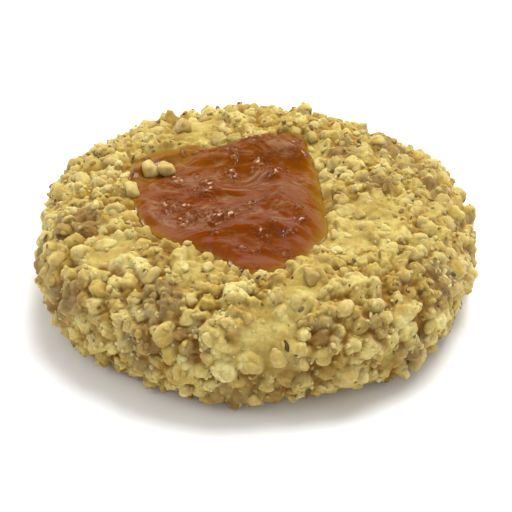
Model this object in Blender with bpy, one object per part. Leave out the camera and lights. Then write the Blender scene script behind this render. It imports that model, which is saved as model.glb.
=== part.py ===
"""A thumbprint cookie: a pressed ball of shortbread dough rolled in chopped nuts, its
thumbprint filled with apricot jam that has a few loose nut crumbs on it.

Metres, +Z up. The origin is the middle of the flat underside, and -Y is the front.
"""

import math

import bmesh
import bpy
import numpy as np
from mathutils import Matrix, Vector, noise

MM = 0.001
SHARP_DEGREES = 35

# Dough: a thick round cake with full shoulders on a flat foot.
RADIUS = 26.1 * MM
CROWN_HEIGHT = 14.1 * MM
WIDEST_HEIGHT = 6.2 * MM
FOOT_RADIUS = 22.2 * MM
CROWN_POWER = 2.9
# The outline seen from above, as (degrees from +X, share of RADIUS).
OUTLINE = (
    (0, 1.000), (30, 0.980), (60, 0.975), (95, 0.985), (125, 1.010), (155, 1.020), (180, 1.005),
    (210, 1.030), (235, 1.000), (260, 1.005), (280, 0.985), (310, 1.020), (340, 0.995),
)
CRAG_DEPTH = 0.45 * MM
CRAG_WIDTH = 3.4 * MM
CRAG_FADE = 2.5 * MM
CRAG_OCTAVES = 3
SECTORS = 60
SIDE_ROWS = 4
TOP_ROWS = 16

# The thumbprint, with its edge as (degrees from +X, millimetres from its middle).
PRINT_MIDDLE = Vector((-3.4 * MM, -0.5 * MM))
PRINT_DEPTH = 5.2 * MM
PRINT_FLOOR_SHARE = 0.25
PRINT_CREST_SHARE = 1.12
PRINT_EDGE = (
    (0, 15.5), (30, 16.4), (58, 18.0), (90, 16.0), (115, 14.8), (140, 15.4), (180, 12.9),
    (225, 12.8), (252, 12.8), (281, 16.8), (315, 16.5),
)

# Jam: level in the thumbprint, with soft lumps, and a lip where it meets the dough.
JAM_EDGE = (
    (0, 11.5), (25, 12.3), (45, 14.6), (58, 16.8), (72, 15.2), (90, 13.1), (112, 13.2), (140, 14.7),
    (160, 13.2), (190, 11.6), (220, 11.7), (248, 10.9), (268, 12.8), (281, 15.8), (300, 15.3), (325, 13.8),
)
JAM_LEVEL = 12.6 * MM
JAM_LIP = 0.75 * MM
JAM_LIP_SHARE = 0.10
JAM_CLIMB_SHARE = 0.45
JAM_GAP = 0.35 * MM
# Lumps and hollows of the jam, as (x, y, radius, height) in millimetres.
JAM_LUMPS = (
    (2.6, 11.4, 3.6, 0.9), (-4.5, 0.5, 5.0, 0.7), (0.5, -9.0, 4.5, 0.5), (3.5, 1.0, 3.5, 0.4),
    (-8.5, 6.0, 3.0, -0.8), (-1.0, 6.0, 3.2, -0.6), (-11.0, -3.0, 3.0, -0.4), (-6.0, 10.0, 2.6, 0.3),
)
JAM_SECTORS = 56
JAM_TOP_ROWS = 10
JAM_BASE_ROWS = 4

# Chopped nuts: the largest pieces of the coating, each more than half sunk in the dough.
NUT_COUNT = 232
NUT_LARGEST = 3.0 * MM
NUT_SMALLEST = 1.6 * MM
NUT_SPACING = 1.08
NUT_SINK = 0.05
NUT_UNEVEN = 0.10
NUT_LENGTHS = (0.95, 1.15)
NUT_WIDTHS = (0.80, 1.00)
NUT_HEIGHTS = (0.75, 1.00)
NUT_LOWEST = 0.6
NUT_CLEAR_OF_JAM = 0.8 * MM
NUT_SEED = 5
# Patches where the bare dough shows, as (x, y, z, radius) in millimetres.
BARE_PATCHES = (
    (15.0, -1.8, 12.8, 3.8), (1.2, -24.1, 10.5, 3.0), (-7.1, 16.5, 13.6, 2.2), (-18.8, -11.4, 12.0, 2.2),
)
# Loose crumbs on the jam, as (x, y, diameter) in millimetres.
JAM_CRUMBS = ((-12.2, 5.6, 2.3), (-10.3, 4.7, 1.7), (-13.4, 1.4, 1.8))


def clear_scene():
    for obj in list(bpy.data.objects):
        bpy.data.objects.remove(obj)


def material(name, colour, roughness):
    mat = bpy.data.materials.new(name)
    mat.use_nodes = True
    shader = mat.node_tree.nodes["Principled BSDF"]
    shader.inputs["Base Color"].default_value = (*colour, 1)
    shader.inputs["Roughness"].default_value = roughness
    shader.inputs["Metallic"].default_value = 0
    return mat


def smooth_step(t):
    t = min(max(t, 0.0), 1.0)
    return t * t * (3 - 2 * t)


def round_curve(points, angle):
    """The value at an angle, on a smooth closed curve through (degrees, value) points."""
    turn = angle % math.tau
    knots = [math.radians(degrees) for degrees, _ in points]
    values = [value for _, value in points]
    count = len(points)
    after = next((i for i, knot in enumerate(knots) if knot > turn), count)

    def knot(i):
        return knots[i % count] + math.tau * (i // count)

    def slope(i):
        return (values[(i + 1) % count] - values[(i - 1) % count]) / (knot(i + 1) - knot(i - 1))

    start, end = after - 1, after
    width = knot(end) - knot(start)
    t = (turn - knot(start)) / width
    return (
        (1 + 2 * t) * (1 - t) ** 2 * values[start % count]
        + t * (1 - t) ** 2 * width * slope(start)
        + t * t * (3 - 2 * t) * values[end % count]
        + t * t * (t - 1) * width * slope(end)
    )


def thumbprint_depth(x, y):
    offset = Vector((x, y)) - PRINT_MIDDLE
    edge = MM * round_curve(PRINT_EDGE, math.atan2(offset.y, offset.x))
    reach = (offset.length / edge - PRINT_FLOOR_SHARE) / (PRINT_CREST_SHARE - PRINT_FLOOR_SHARE)
    return PRINT_DEPTH * (1 - smooth_step(reach))


def dough_top(x, y):
    """Height of the dough's upper side: a crown that rounds down to the widest height, less the print."""
    widest = RADIUS * round_curve(OUTLINE, math.atan2(y, x))
    share = min(math.hypot(x, y) / widest, 1.0)
    crown = (1 - share**CROWN_POWER) ** (1 / CROWN_POWER)
    return WIDEST_HEIGHT + (CROWN_HEIGHT - WIDEST_HEIGHT) * crown - thumbprint_depth(x, y)


def dough_point(row, angle):
    """A point of the dough: row 0 is the foot's edge, 1 the widest ring and 2 the middle of the top."""
    widest = RADIUS * round_curve(OUTLINE, angle)
    foot = widest * FOOT_RADIUS / RADIUS
    if row <= 1:
        turn = row * math.pi / 2
        radius = foot + (widest - foot) * math.sin(turn)
        height = WIDEST_HEIGHT * (1 - math.cos(turn))
        return Vector((radius * math.cos(angle), radius * math.sin(angle), height))
    turn = (row - 1) * math.pi / 2
    radius = widest * max(math.cos(turn), 0) ** (2 / CROWN_POWER)
    x, y = radius * math.cos(angle), radius * math.sin(angle)
    return Vector((x, y, dough_top(x, y)))


def dough_facing(row, angle):
    """Points out of the dough, with a length that follows the area a step of row and angle covers."""
    step = 0.01
    along = dough_point(min(row + step, 2), angle) - dough_point(max(row - step, 0), angle)
    around = dough_point(row, angle + step) - dough_point(row, angle - step)
    return around.cross(along)


def inside_jam(x, y, margin=0.0):
    offset = Vector((x, y)) - PRINT_MIDDLE
    return offset.length < MM * round_curve(JAM_EDGE, math.atan2(offset.y, offset.x)) + margin


def on_bare_patch(point):
    return any((point / MM - Vector(middle)).length < radius for *middle, radius in BARE_PATCHES)


def mesh_object(name, points, faces, finish):
    mesh = bpy.data.meshes.new(name)
    mesh.from_pydata([tuple(p) for p in points], [], faces)
    mesh.materials.append(finish)
    obj = bpy.data.objects.new(name, mesh)
    bpy.context.scene.collection.objects.link(obj)
    return obj


def ring_faces(start, sectors):
    """Quads between the ring of points that begins at start and the ring after it."""
    return [
        (start + i, start + (i + 1) % sectors, start + sectors + (i + 1) % sectors, start + sectors + i)
        for i in range(sectors)
    ]


def make_dough(finish):
    angles = [math.tau * i / SECTORS for i in range(SECTORS)]
    rows = [i / SIDE_ROWS for i in range(SIDE_ROWS)] + [1 + i / TOP_ROWS for i in range(TOP_ROWS)]
    points = []
    for row in rows:
        for angle in angles:
            point = dough_point(row, angle)
            if not inside_jam(point.x, point.y, NUT_CLEAR_OF_JAM):
                relief = CRAG_DEPTH * noise.fractal(point / CRAG_WIDTH, 0.6, 2.0, CRAG_OCTAVES)
                point += dough_facing(row, angle).normalized() * relief * min(point.z / CRAG_FADE, 1)
            points.append(point)
    faces = [face for i in range(len(rows) - 1) for face in ring_faces(i * SECTORS, SECTORS)]
    points.append(Vector((0, 0, 0)))
    foot = len(points) - 1
    faces += [((i + 1) % SECTORS, i, foot) for i in range(SECTORS)]
    points.append(Vector((0, 0, dough_top(0, 0))))
    last = (len(rows) - 1) * SECTORS
    faces += [(last + i, last + (i + 1) % SECTORS, foot + 1) for i in range(SECTORS)]
    return mesh_object("nut_cookie", points, faces, finish)


def jam_top(x, y, share, edge_height):
    """Height of the jam: level with lumps inside, climbing to the dough near its edge, with a round lip."""
    lumps = sum(
        height * MM * math.exp(-((x / MM - at_x) ** 2 + (y / MM - at_y) ** 2) / radius**2)
        for at_x, at_y, radius, height in JAM_LUMPS
    )
    climb = smooth_step((share - (1 - JAM_CLIMB_SHARE)) / JAM_CLIMB_SHARE)
    lip = max((share - (1 - JAM_LIP_SHARE)) / JAM_LIP_SHARE, 0)
    level = JAM_LEVEL + (edge_height + JAM_LIP - JAM_LEVEL) * climb + lumps * (1 - lip)
    return level - (JAM_LIP - JAM_GAP) * (1 - math.sqrt(1 - lip * lip))


def jam_point(share, angle, top):
    edge = MM * round_curve(JAM_EDGE, angle)
    x = PRINT_MIDDLE.x + share * edge * math.cos(angle)
    y = PRINT_MIDDLE.y + share * edge * math.sin(angle)
    if not top:
        return Vector((x, y, dough_top(x, y) + JAM_GAP))
    edge_x = PRINT_MIDDLE.x + edge * math.cos(angle)
    edge_y = PRINT_MIDDLE.y + edge * math.sin(angle)
    edge_height = dough_top(edge_x, edge_y) + JAM_GAP
    return Vector((x, y, jam_top(x, y, share, edge_height)))


def make_jam(finish):
    angles = [math.tau * i / JAM_SECTORS for i in range(JAM_SECTORS)]
    base = [((i + 1) / JAM_BASE_ROWS, False) for i in range(JAM_BASE_ROWS)]
    # The top's rings close up towards the lip, where the surface turns down.
    top = [(math.sin((1 - i / JAM_TOP_ROWS) * math.pi / 2), True) for i in range(JAM_TOP_ROWS)]
    rows = base + top
    points = [jam_point(share, angle, is_top) for share, is_top in rows for angle in angles]
    faces = [face for i in range(len(rows) - 1) for face in ring_faces(i * JAM_SECTORS, JAM_SECTORS)]
    points.append(jam_point(0, 0, False))
    floor = len(points) - 1
    faces += [((i + 1) % JAM_SECTORS, i, floor) for i in range(JAM_SECTORS)]
    points.append(jam_point(0, 0, True))
    last = (len(rows) - 1) * JAM_SECTORS
    faces += [(last + i, last + (i + 1) % JAM_SECTORS, floor + 1) for i in range(JAM_SECTORS)]
    return mesh_object("jam_filling", points, faces, finish)


def nut_piece(collection, point, normal, size, draw):
    """One chopped nut: an uneven many-sided lump, sunk along the normal of what it lies on."""
    shape = bmesh.new()
    bmesh.ops.create_icosphere(shape, subdivisions=1, radius=size / 2)
    for vert in shape.verts:
        vert.co *= 1 + draw.uniform(-NUT_UNEVEN, NUT_UNEVEN)
    sizes = [draw.uniform(*limits) for limits in (NUT_LENGTHS, NUT_WIDTHS, NUT_HEIGHTS)]
    stretch = Matrix.Diagonal((*sizes, 1))
    spin = Matrix.Rotation(draw.uniform(0, math.tau), 4, "Z")
    stand = normal.to_track_quat("Z", "Y").to_matrix().to_4x4()
    place = Matrix.Translation(point - normal * size * NUT_SINK)
    bmesh.ops.transform(shape, matrix=place @ stand @ spin @ stretch, verts=shape.verts)
    mesh = bpy.data.meshes.new("nut")
    shape.to_mesh(mesh)
    shape.free()
    collection.objects.link(bpy.data.objects.new("nut", mesh))


def nut_places(draw):
    """Places for the nuts, largest first: thrown evenly over the surface, and kept where there is room."""
    largest_area = max(dough_facing(0.05 * i, 0).length for i in range(40))
    places = []
    while len(places) < NUT_COUNT:
        size = NUT_LARGEST + (NUT_SMALLEST - NUT_LARGEST) * (len(places) / NUT_COUNT) ** 0.5
        row, angle = draw.uniform(0, 2), draw.uniform(0, math.tau)
        point, facing = dough_point(row, angle), dough_facing(row, angle)
        if draw.uniform(0, largest_area) > facing.length or point.z < NUT_LOWEST * size:
            continue
        if inside_jam(point.x, point.y, NUT_CLEAR_OF_JAM + size / 2) or on_bare_patch(point):
            continue
        if all((point - other).length > NUT_SPACING * (size + near) / 2 for other, _, near in places):
            places.append((point, facing.normalized(), size))
    return places


def fuse(obj, collection):
    """Joins the collection's objects to obj by one Boolean union, applied, and removes them."""
    union = obj.modifiers.new("union", "BOOLEAN")
    union.operation = "UNION"
    union.solver = "EXACT"
    union.operand_type = "COLLECTION"
    union.collection = collection
    graph = bpy.context.evaluated_depsgraph_get()
    fused = bpy.data.meshes.new_from_object(obj.evaluated_get(graph))
    obj.modifiers.clear()
    obj.data = fused
    fused.shade_smooth()
    fused.set_sharp_from_angle(angle=math.radians(SHARP_DEGREES))
    for piece in list(collection.objects):
        bpy.data.objects.remove(piece)
    bpy.data.collections.remove(collection)


def new_collection(name):
    collection = bpy.data.collections.new(name)
    bpy.context.scene.collection.children.link(collection)
    return collection


def coat_with_nuts(cookie):
    draw = np.random.default_rng(NUT_SEED)
    nuts = new_collection("nuts")
    for point, normal, size in nut_places(draw):
        nut_piece(nuts, point, normal, size, draw)
    fuse(cookie, nuts)


def drop_crumbs(jam):
    draw = np.random.default_rng(NUT_SEED + 1)
    crumbs = new_collection("crumbs")
    for x_mm, y_mm, size_mm in JAM_CRUMBS:
        offset = Vector((x_mm * MM, y_mm * MM)) - PRINT_MIDDLE
        angle = math.atan2(offset.y, offset.x)
        share = offset.length / (MM * round_curve(JAM_EDGE, angle))
        nut_piece(crumbs, jam_point(share, angle, True), Vector((0, 0, 1)), size_mm * MM, draw)
    fuse(jam, crumbs)


def centre_on_origin(objects):
    """Moves all so that the middle of their box, seen from above, is the origin."""
    corners = [obj.matrix_world @ vert.co for obj in objects for vert in obj.data.vertices]
    middle = [(min(p[i] for p in corners) + max(p[i] for p in corners)) / 2 for i in range(2)]
    for obj in objects:
        obj.data.transform(Matrix.Translation((-middle[0], -middle[1], 0)))


def main():
    clear_scene()
    cookie = make_dough(material("nut_crust", (0.45, 0.29, 0.09), 0.8))
    coat_with_nuts(cookie)
    jam = make_jam(material("apricot_jam", (0.30, 0.08, 0.012), 0.15))
    drop_crumbs(jam)
    centre_on_origin([cookie, jam])


main()
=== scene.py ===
from math import cos, pi, radians, sin, tau

import bmesh
import bpy
import numpy as np
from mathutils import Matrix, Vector


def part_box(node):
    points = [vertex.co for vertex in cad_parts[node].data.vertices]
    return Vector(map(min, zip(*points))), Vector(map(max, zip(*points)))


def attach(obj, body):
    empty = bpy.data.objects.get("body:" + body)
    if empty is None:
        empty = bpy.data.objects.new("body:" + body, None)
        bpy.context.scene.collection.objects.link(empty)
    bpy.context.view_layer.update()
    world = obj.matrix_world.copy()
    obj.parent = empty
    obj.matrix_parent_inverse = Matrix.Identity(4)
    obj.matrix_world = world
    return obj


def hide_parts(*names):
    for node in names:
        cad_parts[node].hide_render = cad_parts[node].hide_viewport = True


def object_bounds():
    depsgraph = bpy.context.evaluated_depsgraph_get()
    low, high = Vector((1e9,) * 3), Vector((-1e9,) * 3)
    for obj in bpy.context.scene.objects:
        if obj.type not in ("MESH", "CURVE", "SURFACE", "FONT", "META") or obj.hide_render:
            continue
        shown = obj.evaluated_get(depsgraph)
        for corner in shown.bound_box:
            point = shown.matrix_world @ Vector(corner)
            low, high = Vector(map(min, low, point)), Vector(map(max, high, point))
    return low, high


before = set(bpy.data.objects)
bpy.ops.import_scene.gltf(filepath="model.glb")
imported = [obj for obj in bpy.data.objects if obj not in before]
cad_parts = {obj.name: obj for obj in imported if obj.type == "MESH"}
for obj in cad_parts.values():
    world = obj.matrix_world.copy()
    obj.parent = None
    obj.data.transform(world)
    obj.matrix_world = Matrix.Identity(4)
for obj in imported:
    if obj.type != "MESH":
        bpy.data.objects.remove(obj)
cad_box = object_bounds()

MM = 0.001


# Dough
# The ball of shortbread dough, flattened on the tray and marked by a thumb. Its crust is
# nuts and crumbs pressed half into it, with pale bare dough between them.
RADIUS, CROWN_HEIGHT, WIDEST_HEIGHT, FOOT_RADIUS = 26.1, 14.1, 6.2, 22.2
CROWN_POWER = 2.9
OUTLINE = (
    (0, 1.0), (30, 0.98), (60, 0.975), (95, 0.985), (125, 1.01), (155, 1.02), (180, 1.005), (210, 1.03),
    (235, 1.0), (260, 1.005), (280, 0.985), (310, 1.02), (340, 0.995),
)
PRINT_MIDDLE = np.array((-3.4, -0.5))
PRINT_DEPTH, PRINT_FLOOR_SHARE, PRINT_CREST_SHARE = 5.2, 0.25, 1.12
PRINT_EDGE = (
    (0, 15.5), (30, 16.4), (58, 18.0), (90, 16.0), (115, 14.8), (140, 15.4), (180, 12.9), (225, 12.8),
    (252, 12.8), (281, 16.8), (315, 16.5),
)
JAM_EDGE = (
    (0, 11.5), (25, 12.3), (45, 14.6), (58, 16.8), (72, 15.2), (90, 13.1), (112, 13.2), (140, 14.7),
    (160, 13.2), (190, 11.6), (220, 11.7), (248, 10.9), (268, 12.8), (281, 15.8), (300, 15.3),
    (325, 13.8),
)
BARE_PATCHES = (
    (13.9, -4.3, 13.6, 4.8), (10.2, -9.9, 13.4, 3.0), (1.1, -24.3, 10.4, 4.4), (-17.2, -10.8, 12.7, 3.2),
    (-7.3, 17.3, 12.9, 3.0), (6.5, 11.0, 12.6, 2.4), (15.0, -21.9, 5.2, 1.6), (4.8, -18.1, 12.8, 2.6),
)
PASTE_PATCHES = (
    (21.1, -13.3, 10.2, 3.2), (18.2, -19.1, 4.4, 3.0), (-10.5, -19.6, 11.8, 3.2),
    (-7.6, -23.8, 10.1, 3.0), (-21.7, -4.6, 12.0, 3.0), (-23.1, -13.7, 7.5, 3.5), (10.8, 9.7, 13.4, 2.6),
    (14.2, 1.6, 13.6, 2.2), (-13.4, -22.3, 6.8, 3.0), (4.7, -25.3, 6.3, 2.4), (21.0, 2.6, 12.2, 2.6),
    (-3.2, -25.3, 2.6, 2.5), (7.5, -23.2, 10.4, 2.3),
)


def smooth_step(t):
    """Rises from 0 to 1 as t does, level at both ends: t t (3 - 2 t)."""
    t = np.clip(t, 0, 1)
    return t * t * (3 - 2 * t)


def round_curve(points, turn):
    """A smooth closed curve through (degrees, value) points: between two of them a cubic that
    leaves each with the slope of the line from the point before it to the point after it."""
    degrees, values = np.array(points, float).T
    knots = np.radians(degrees)
    turn = np.asarray(turn) % tau
    spans = (np.roll(knots, -1) - np.roll(knots, 1)) % tau
    slopes = (np.roll(values, -1) - np.roll(values, 1)) / spans
    start = np.searchsorted(knots, turn, side="right") - 1
    end = (start + 1) % len(knots)
    width = (knots[end] - knots[start]) % tau
    t = (turn - knots[start]) / width
    return (
        (1 + 2 * t) * (1 - t) ** 2 * values[start] + t * (1 - t) ** 2 * width * slopes[start]
        + t * t * (3 - 2 * t) * values[end] + t * t * (t - 1) * width * slopes[end]
    )


def print_polar(x, y):
    """The distance and the turn of a place from the thumbprint's middle."""
    x, y = x - PRINT_MIDDLE[0], y - PRINT_MIDDLE[1]
    return np.hypot(x, y), np.arctan2(y, x)


def print_place(reach, turn):
    """The place at a distance and a turn from the thumbprint's middle."""
    return PRINT_MIDDLE[0] + reach * np.cos(turn), PRINT_MIDDLE[1] + reach * np.sin(turn)


def dough_top(x, y):
    """The crown, a power curve from the middle to the widest ring, less the thumbprint, whose
    depth falls off by a smooth step from its floor to its crest."""
    share = np.minimum(np.hypot(x, y) / (RADIUS * round_curve(OUTLINE, np.arctan2(y, x))), 1)
    crown = (1 - share**CROWN_POWER) ** (1 / CROWN_POWER)
    reach, turn = print_polar(x, y)
    fade = reach / round_curve(PRINT_EDGE, turn) - PRINT_FLOOR_SHARE
    fade = fade / (PRINT_CREST_SHARE - PRINT_FLOOR_SHARE)
    return WIDEST_HEIGHT + (CROWN_HEIGHT - WIDEST_HEIGHT) * crown - PRINT_DEPTH * (1 - smooth_step(fade))


def dough_surface(row, turn):
    """Row 0 is the foot's edge, 1 the widest ring and 2 the middle of the top. Below the widest
    ring the side is a quarter of an ellipse, and above it the crown of dough_top."""
    row, turn = np.broadcast_arrays(row, turn)
    widest = RADIUS * round_curve(OUTLINE, turn)
    foot = widest * FOOT_RADIUS / RADIUS
    low, high = np.minimum(row, 1) * pi / 2, np.clip(row - 1, 0, 1) * pi / 2
    side, top = foot + (widest - foot) * np.sin(low), widest * np.cos(high) ** (2 / CROWN_POWER)
    radius = np.where(row < 1, side, top)
    x, y = radius * np.cos(turn), radius * np.sin(turn)
    return np.stack((x, y, np.where(row < 1, WIDEST_HEIGHT * (1 - np.cos(low)), dough_top(x, y))), -1)


def dough_facing(row, turn, step=0.01):
    """Points out of the dough: the cross product of a small step round it and one up it, so
    that its length follows the area that the steps cover."""
    along = dough_surface(np.minimum(row + step, 2), turn) - dough_surface(np.maximum(row - step, 0), turn)
    around = dough_surface(row, turn + step) - dough_surface(row, turn - step)
    return np.cross(around, along)


def unit(vectors):
    return vectors / np.linalg.norm(vectors, axis=-1, keepdims=True)


def cell_draws(cells, seed):
    """Three draws from 0 to 1 for each cell of a lattice, by mixing its whole-number place."""
    mixed = cells.astype(np.int64) @ np.array((73856093, 19349663, 83492791)) + seed * 668265263
    draws = []
    for step in range(3):
        value = (mixed + step * 374761393) & 0xFFFFFFFF
        for turn, factor in ((15, 2246822519), (13, 3266489917)):
            value = ((value ^ (value >> turn)) * factor) & 0xFFFFFFFF
        draws.append((value ^ (value >> 16)) / 0xFFFFFFFF)
    return np.stack(draws, -1)


def swells(points, width, seed, octaves=3):
    """Soft random swells from -1 to 1: draws at the corners of a lattice, blended by smooth
    steps, with finer and weaker layers added."""
    total, weight = 0, 0
    for octave in range(octaves):
        place = points / (width / 2**octave)
        corner, rest = np.floor(place), smooth_step(place - np.floor(place))
        layer = 0
        for bits in range(8):
            step = np.array((bits & 1, bits >> 1 & 1, bits >> 2))
            share = np.prod(np.where(step, rest, 1 - rest), -1)
            layer = layer + share * (2 * cell_draws(corner + step, seed + octave)[..., 0] - 1)
        total, weight = total + layer / 1.8**octave, weight + 1 / 1.8**octave
    return total / weight * 1.5


def pebbles(points, width, seed):
    """One pebble stands somewhere in each cell of a lattice. Gives the distance to the nearest
    and the next one, in cell widths, the nearest one's own draw, and how far the place lies
    along that one's own lean."""
    place = points / width
    corner = np.floor(place)
    own = lean = np.zeros(points.shape[:-1])
    nearest = second = own + 9
    for step in np.ndindex(3, 3, 3):
        cell = corner + np.array(step) - 1
        away = place - cell - cell_draws(cell, seed)
        gap = np.linalg.norm(away, axis=-1)
        closer = gap < nearest
        second = np.where(closer, nearest, np.minimum(second, gap))
        draws = cell_draws(cell, seed + 7)
        own = np.where(closer, draws[..., 1], own)
        lean = np.where(closer, (away * (2 * draws - 1)).sum(-1), lean)
        nearest = np.where(closer, gap, nearest)
    return nearest, second, own, lean


BAY_DEPTH, BAY_WIDTH, EDGE_INSET = 0.4, 2.6, 0.05


def ragged_edge(turn):
    """The jam's edge with the small bays and tongues that the crumbs beside it give it."""
    reach = round_curve(JAM_EDGE, turn)
    place = np.stack((reach * np.cos(turn), reach * np.sin(turn), np.zeros_like(reach)), -1)
    return reach + BAY_DEPTH * swells(place, BAY_WIDTH, 17, 3) - EDGE_INSET


def jam_margin(points):
    """How far a place lies outside the jam's edge, seen from above; less than 0 under the jam."""
    reach, turn = print_polar(points[..., 0], points[..., 1])
    return np.where(points[..., 2] > WIDEST_HEIGHT, reach - ragged_edge(turn), RADIUS)


def patches(points, places, seed):
    """1 inside balls of the given middles and radii, easing to 0 over an uneven edge."""
    edge = swells(points, 2.5, seed, 2) * 0.3
    gaps = [np.linalg.norm(points - np.array(middle), axis=-1) / radius for *middle, radius in places]
    return smooth_step((1.15 - np.min(gaps, axis=0) + edge) * 2.0)


def bareness(points):
    """1 where the bare dough shows and 0 where nuts cover it: the patches, and the tops of a
    wide noise."""
    wide = smooth_step(swells(points, 7.5, 31, 2) * 1.7 - 0.45) * 0.8
    return np.maximum(wide, patches(points, BARE_PATCHES, 35))


def pastiness(points):
    """1 where ground nut skins colour the crust grey brown."""
    wide = smooth_step(swells(points, 6.5, 37, 3) * 1.8 - 0.35) * 0.75
    return np.maximum(wide, patches(points, PASTE_PATCHES, 39)) * (1 - bareness(points))


PEBBLE_LAYERS = ((3.3, 3, 0.66), (1.75, 5, 0.54), (0.9, 8, 0.22))
BEND, SWELL_HEIGHT, FADE_HEIGHT = 0.55, 0.45, 1.6


def crust(points):
    """Relief of the baked crust, the painted shade of each place from 0 to 1, and how bare the
    dough is there. The shade is more the lower a place lies among the pebbles, and less where
    the dough is bare. Three sizes of pebbles on a bent lattice stand on long swells, each with
    its own height and lean, easing down to the next. They are lower where the dough is bare,
    and all relief fades to nothing under the jam and towards the tray."""
    bare = bareness(points)
    bent = points + BEND * np.stack([swells(points, 2.2, seed, 3) for seed in (21, 23, 25)], -1)
    crowd = 1 + 0.35 * swells(points, 5.5, 27, 2)
    lumps = 0
    for width, seed, height in PEBBLE_LAYERS:
        nearest, second, own, lean = pebbles(bent, width, seed)
        rise = smooth_step((second - nearest) / 0.5) ** 0.8
        there = 1 - (0.65 if width > 3 else 0.74) * bare
        lumps = lumps + height * rise * (0.5 + 0.5 * own + 0.5 * lean - 0.25 * nearest**2) * there
    relief = SWELL_HEIGHT * swells(points, 5.0, 11) + (lumps - 0.55) * crowd
    fade = smooth_step(jam_margin(points) + 0.4) * np.clip(points[..., 2] / FADE_HEIGHT, 0, 1)
    # The second value is painted shade: the crust's low places between pebbles, less where the dough is
    # bare.
    return relief * fade, np.clip(1 - lumps / 0.85, 0, 1) * (1 - 0.6 * bare), bare


def crust_surface(row, turn):
    """The dough's surface, moved along its facing by the crust's relief."""
    points = dough_surface(row, turn)
    facing = unit(dough_facing(row, turn))
    relief, painted_shade, bare = crust(points)
    points = points + facing * relief[..., None]
    points[..., 2] = np.maximum(points[..., 2], 0)
    return points, facing, painted_shade, bare


def even_rows(count, covered_radius, covered_weight):
    """Rows spaced evenly by their length along the side and the top, but wider inside the
    covered radius, by adding up the lengths of many short steps and reading them backwards."""
    fine = np.linspace(0, 1.999, 4000)
    line = dough_surface(fine, np.zeros_like(fine))
    steps = np.linalg.norm(np.diff(line, axis=0), axis=-1)
    steps = np.where(np.hypot(line[1:, 0], line[1:, 1]) < covered_radius, steps * covered_weight, steps)
    length = np.concatenate(((0,), np.cumsum(steps)))
    return np.interp(np.linspace(0, length[-1], count), length, fine)


NUT_COUNT, NUT_LARGEST, NUT_SMALLEST, NUT_SPACING, NUT_LOWEST = 232, 3.0, 1.6, 1.08, 0.6
NUT_CLEAR_OF_JAM, NUT_SEED = 0.8, 5
SOLID_BARE_PATCHES = (
    (15.0, -1.8, 12.8, 3.8), (1.2, -24.1, 10.5, 3.0), (-7.1, 16.5, 13.6, 2.2), (-18.8, -11.4, 12.0, 2.2),
)


def large_nut_places():
    """The same draws as the solid's nuts: thrown evenly over the dough, largest first, and
    kept where there is room."""
    draw = np.random.default_rng(NUT_SEED)
    largest_area = max(np.linalg.norm(dough_facing(0.05 * i, 0.0)) for i in range(40)) * MM**2
    places = []
    while len(places) < NUT_COUNT:
        size = NUT_LARGEST + (NUT_SMALLEST - NUT_LARGEST) * (len(places) / NUT_COUNT) ** 0.5
        row, turn = draw.uniform(0, 2), draw.uniform(0, tau)
        point = dough_surface(row, turn)
        area = np.linalg.norm(dough_facing(row, turn)) * MM**2
        if draw.uniform(0, largest_area) > area or point[2] < NUT_LOWEST * size:
            continue
        reach, angle = print_polar(point[0], point[1])
        if reach < round_curve(JAM_EDGE, angle) + NUT_CLEAR_OF_JAM + size / 2:
            continue
        if any(np.linalg.norm(point - middle) < radius for *middle, radius in SOLID_BARE_PATCHES):
            continue
        if all(
            np.linalg.norm(point - other) > NUT_SPACING * (size + near) / 2
            for other, _, _, near in places
        ):
            places.append((point, row, turn, size))
    return [np.array(part) for part in zip(*places)]


def scatter(
    count, tries, sizes, spacing, seed, keep_bare, margins=(0.0, 0.9), taken=(), taken_sizes=(),
):
    """Throws darts evenly over the dough, sizes falling from large to small, and keeps those
    that have room beside the ones before, found through a lattice of the largest size."""
    draw = np.random.default_rng(seed)
    row, turn = draw.uniform(0.02, 1.86, tries), draw.uniform(0, tau, tries)
    area = np.linalg.norm(dough_facing(row, turn), axis=-1)
    kept = draw.uniform(0, area.max(), tries) < area
    row, turn = row[kept], turn[kept]
    points = dough_surface(row, turn)
    room = jam_margin(points) > draw.uniform(*margins, len(points))
    covered = draw.uniform(0, 1, len(points)) > bareness(points) * (1 - keep_bare)
    row, turn, points = row[room & covered], turn[room & covered], points[room & covered]
    widest = sizes[0] * 1.3
    near = {}
    for point, size in zip(taken, taken_sizes):
        near.setdefault(tuple(np.floor(point / widest).astype(int)), []).append((*point, size))
    chosen, chosen_sizes = [], []
    steps = list(np.ndindex(3, 3, 3))
    for index, point in enumerate(points):
        if len(chosen) == count:
            break
        size = sizes[0] * (sizes[1] / sizes[0]) ** (len(chosen) / count)
        if point[2] < 0.35 * size:
            continue
        cell = np.floor(point / widest).astype(int)
        around = ((cell[0] + a - 1, cell[1] + b - 1, cell[2] + c - 1) for a, b, c in steps)
        others = [other for key in around for other in near.get(key, ())]
        x, y, z = point
        if all(
            (x - a) ** 2 + (y - b) ** 2 + (z - c) ** 2 > (spacing * (size + other) / 2) ** 2
            for a, b, c, other in others
        ):
            near.setdefault(tuple(cell), []).append((x, y, z, size))
            chosen.append(index)
            chosen_sizes.append(size)
    return row[chosen], turn[chosen], np.array(chosen_sizes)


def tone_swells(places):
    """Wide swells of lighter and darker over the whole crust."""
    return 0.42 * swells(places, 5.0, 71, 2)


def nut_tone(places, seed):
    """Each nut's tone, from 0 to 1: its own draw, on wide swells that run over the crust, and
    darker among ground skins."""
    own = np.random.default_rng(seed).normal(size=len(places))
    return np.clip(0.58 + 0.22 * own + tone_swells(places) - 0.35 * pastiness(places), 0, 1)


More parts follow.
